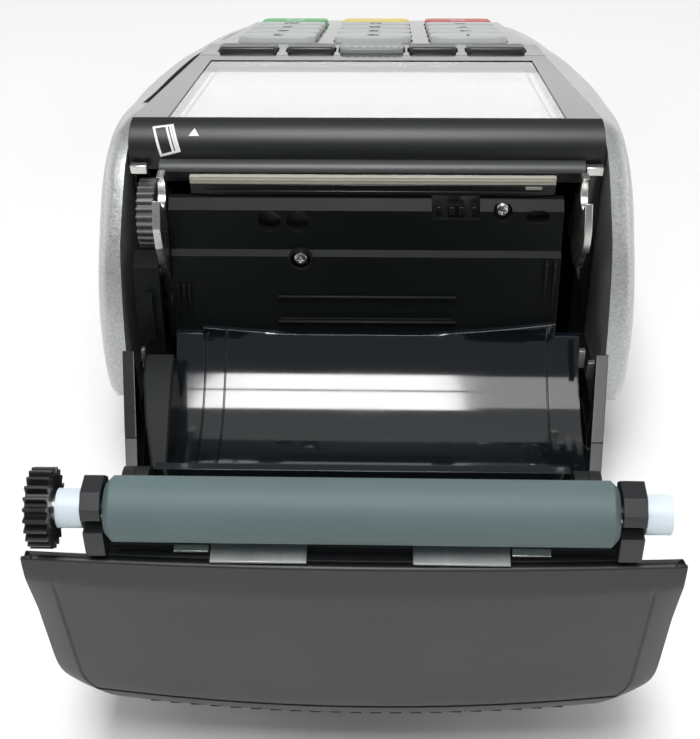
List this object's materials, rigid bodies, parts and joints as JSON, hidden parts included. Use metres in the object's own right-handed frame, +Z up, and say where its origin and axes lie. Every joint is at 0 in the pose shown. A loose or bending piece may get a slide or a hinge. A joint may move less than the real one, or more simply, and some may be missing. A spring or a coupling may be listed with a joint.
{
  "type": "card payment terminal",
  "caption": "Countertop card payment terminal with a keypad, a display, a card lane and a receipt printer whose paper door stands open.",
  "frame": {"origin": "under the middle of the whole, door open, in the plane that the feet stand on", "axes": "+X is the user's right, +Y runs from the keypad to the paper door, +Z is up"},
  "size_m": [0.0888, 0.2251, 0.0604],
  "materials": {
    "alu": "bare aluminium",
    "board_green": "solder mask",
    "bush_white": "white acetal",
    "deck_black": "polished black plastic",
    "foot_rubber": "black rubber",
    "gear_black": "black acetal",
    "gear_grey": "light grey acetal",
    "head_cream": "glazed ceramic strip",
    "key_green": "green key cap",
    "key_grey": "dark grey key caps",
    "key_red": "red key cap",
    "key_yellow": "yellow key cap",
    "lcd_grey": "pale grey-green display cell",
    "lens_clear": "clear window",
    "mat_rubber": "moulded silicone",
    "motor_metal": "drawn steel can",
    "panel_silver": "satin silver lacquer with fine flake",
    "platen_rubber": "ground grey-green rubber",
    "shell_black": "satin moulded plastic, faint spark texture",
    "steel": "bright stamped steel"
  },
  "bodies": {
    "base": {"base_shell": "shell_black", "bay_wall": "shell_black", "card_reader": "shell_black", "cover_catches": "steel", "display_bezel": "deck_black", "display_lens": "lens_clear", "exit_lip": "shell_black", "gear_cover": "shell_black", "head_springs": "steel", "housing_screws": "steel", "keypad_mat": "mat_rubber", "lcd_module": "lcd_grey", "main_board": "board_green", "memory_door": "shell_black", "modular_jacks": "shell_black", "paper_sensor": "shell_black", "paper_tray": "deck_black", "power_jack": "shell_black", "rubber_feet": "foot_rubber", "side_frame_left": "steel", "side_frame_right": "steel", "side_panel_left": "panel_silver", "side_panel_right": "panel_silver", "stepper_motor": "motor_metal", "stripe_reader": "steel", "top_housing": "deck_black"},
    "cover": {"cover_shell": "shell_black", "cover_frame": "shell_black", "cover_spring_plates": "steel", "hinge_pins": "steel", "roller_bushes": "bush_white"},
    "roller": {"roller_rubber": "platen_rubber", "roller_shaft": "steel", "roller_gear": "gear_black"},
    "head": {"print_head": "head_cream", "head_heatsink": "alu"},
    "output_gear": {"output_gear": "gear_grey"},
    "reduction_gear": {"reduction_gear": "gear_grey"},
    "motor_pinion": {"motor_pinion": "gear_grey"},
    "key_0": {"key_0": "key_grey"},
    "key_1": {"key_1": "key_grey"},
    "key_2": {"key_2": "key_grey"},
    "key_3": {"key_3": "key_grey"},
    "key_4": {"key_4": "key_grey"},
    "key_5": {"key_5": "key_grey"},
    "key_6": {"key_6": "key_grey"},
    "key_7": {"key_7": "key_grey"},
    "key_8": {"key_8": "key_grey"},
    "key_9": {"key_9": "key_grey"},
    "key_cancel": {"key_cancel": "key_red"},
    "key_clear": {"key_clear": "key_yellow"},
    "key_enter": {"key_enter": "key_green"},
    "key_hash": {"key_hash": "key_grey"},
    "key_menu": {"key_menu": "key_grey"},
    "key_star": {"key_star": "key_grey"},
    "soft_key_1": {"soft_key_1": "key_grey"},
    "soft_key_2": {"soft_key_2": "key_grey"},
    "soft_key_3": {"soft_key_3": "key_grey"},
    "soft_key_4": {"soft_key_4": "key_grey"}
  },
  "joints": [
    {"name": "cover_hinge", "type": "hinge", "parent": "base", "child": "cover", "pos_m": [0, 0.07124, 0.023], "axis": [1, 0, 0], "range_deg": [0, 100.2]},
    {"name": "roller_spin", "type": "hinge", "parent": "cover", "child": "roller", "pos_m": [0, 0.10776, 0.05428], "axis": [1, 0, 0], "continuous": true},
    {"name": "output_spin", "type": "hinge", "parent": "base", "child": "output_gear", "pos_m": [0.03615, 0.02767, 0.04565], "axis": [1, 0, 0], "continuous": true},
    {"name": "reduction_spin", "type": "hinge", "parent": "base", "child": "reduction_gear", "pos_m": [0.03615, 0.03036, 0.03561], "axis": [1, 0, 0], "continuous": true},
    {"name": "motor_spin", "type": "hinge", "parent": "base", "child": "motor_pinion", "pos_m": [0.03, 0.02676, 0.02937], "axis": [1, 0, 0], "continuous": true},
    {"name": "head_pivot", "type": "hinge", "parent": "base", "child": "head", "pos_m": [0, 0.02864, 0.042], "axis": [1, 0, 0], "range_deg": [0, 1.5], "stiffness_Nm_per_rad": 0.4, "springref_deg": -11.46, "deforming": ["head_springs"]},
    {"name": "key_0_press", "type": "slide", "parent": "base", "child": "key_0", "axis": [0, 0.3453, -0.9385], "range_m": [0, 0.0012], "stiffness_N_per_m": 400, "springref_m": -0.0015},
    {"name": "key_1_press", "type": "slide", "parent": "base", "child": "key_1", "axis": [0, 0.3453, -0.9385], "range_m": [0, 0.0012], "stiffness_N_per_m": 400, "springref_m": -0.0015},
    {"name": "key_2_press", "type": "slide", "parent": "base", "child": "key_2", "axis": [0, 0.3453, -0.9385], "range_m": [0, 0.0012], "stiffness_N_per_m": 400, "springref_m": -0.0015},
    {"name": "key_3_press", "type": "slide", "parent": "base", "child": "key_3", "axis": [0, 0.3453, -0.9385], "range_m": [0, 0.0012], "stiffness_N_per_m": 400, "springref_m": -0.0015},
    {"name": "key_4_press", "type": "slide", "parent": "base", "child": "key_4", "axis": [0, 0.3453, -0.9385], "range_m": [0, 0.0012], "stiffness_N_per_m": 400, "springref_m": -0.0015},
    {"name": "key_5_press", "type": "slide", "parent": "base", "child": "key_5", "axis": [0, 0.3453, -0.9385], "range_m": [0, 0.0012], "stiffness_N_per_m": 400, "springref_m": -0.0015},
    {"name": "key_6_press", "type": "slide", "parent": "base", "child": "key_6", "axis": [0, 0.3453, -0.9385], "range_m": [0, 0.0012], "stiffness_N_per_m": 400, "springref_m": -0.0015},
    {"name": "key_7_press", "type": "slide", "parent": "base", "child": "key_7", "axis": [0, 0.3453, -0.9385], "range_m": [0, 0.0012], "stiffness_N_per_m": 400, "springref_m": -0.0015},
    {"name": "key_8_press", "type": "slide", "parent": "base", "child": "key_8", "axis": [0, 0.3453, -0.9385], "range_m": [0, 0.0012], "stiffness_N_per_m": 400, "springref_m": -0.0015},
    {"name": "key_9_press", "type": "slide", "parent": "base", "child": "key_9", "axis": [0, 0.3453, -0.9385], "range_m": [0, 0.0012], "stiffness_N_per_m": 400, "springref_m": -0.0015},
    {"name": "key_cancel_press", "type": "slide", "parent": "base", "child": "key_cancel", "axis": [0, 0.3453, -0.9385], "range_m": [0, 0.0012], "stiffness_N_per_m": 400, "springref_m": -0.0015},
    {"name": "key_clear_press", "type": "slide", "parent": "base", "child": "key_clear", "axis": [0, 0.3453, -0.9385], "range_m": [0, 0.0012], "stiffness_N_per_m": 400, "springref_m": -0.0015},
    {"name": "key_enter_press", "type": "slide", "parent": "base", "child": "key_enter", "axis": [0, 0.3453, -0.9385], "range_m": [0, 0.0012], "stiffness_N_per_m": 400, "springref_m": -0.0015},
    {"name": "key_hash_press", "type": "slide", "parent": "base", "child": "key_hash", "axis": [0, 0.3453, -0.9385], "range_m": [0, 0.0012], "stiffness_N_per_m": 400, "springref_m": -0.0015},
    {"name": "key_menu_press", "type": "slide", "parent": "base", "child": "key_menu", "axis": [0, 0.2284, -0.9736], "range_m": [0, 0.0012], "stiffness_N_per_m": 400, "springref_m": -0.0015},
    {"name": "key_star_press", "type": "slide", "parent": "base", "child": "key_star", "axis": [0, 0.3453, -0.9385], "range_m": [0, 0.0012], "stiffness_N_per_m": 400, "springref_m": -0.0015},
    {"name": "soft_key_1_press", "type": "slide", "parent": "base", "child": "soft_key_1", "axis": [0, 0.2284, -0.9736], "range_m": [0, 0.0012], "stiffness_N_per_m": 400, "springref_m": -0.0015},
    {"name": "soft_key_2_press", "type": "slide", "parent": "base", "child": "soft_key_2", "axis": [0, 0.2284, -0.9736], "range_m": [0, 0.0012], "stiffness_N_per_m": 400, "springref_m": -0.0015},
    {"name": "soft_key_3_press", "type": "slide", "parent": "base", "child": "soft_key_3", "axis": [0, 0.2284, -0.9736], "range_m": [0, 0.0012], "stiffness_N_per_m": 400, "springref_m": -0.0015},
    {"name": "soft_key_4_press", "type": "slide", "parent": "base", "child": "soft_key_4", "axis": [0, 0.2284, -0.9736], "range_m": [0, 0.0012], "stiffness_N_per_m": 400, "springref_m": -0.0015}
  ],
  "couplings": [
    {"joint": "reduction_spin", "follows": "output_spin", "ratio": -1.1667},
    {"joint": "motor_spin", "follows": "output_spin", "ratio": 2.3333}
  ]
}
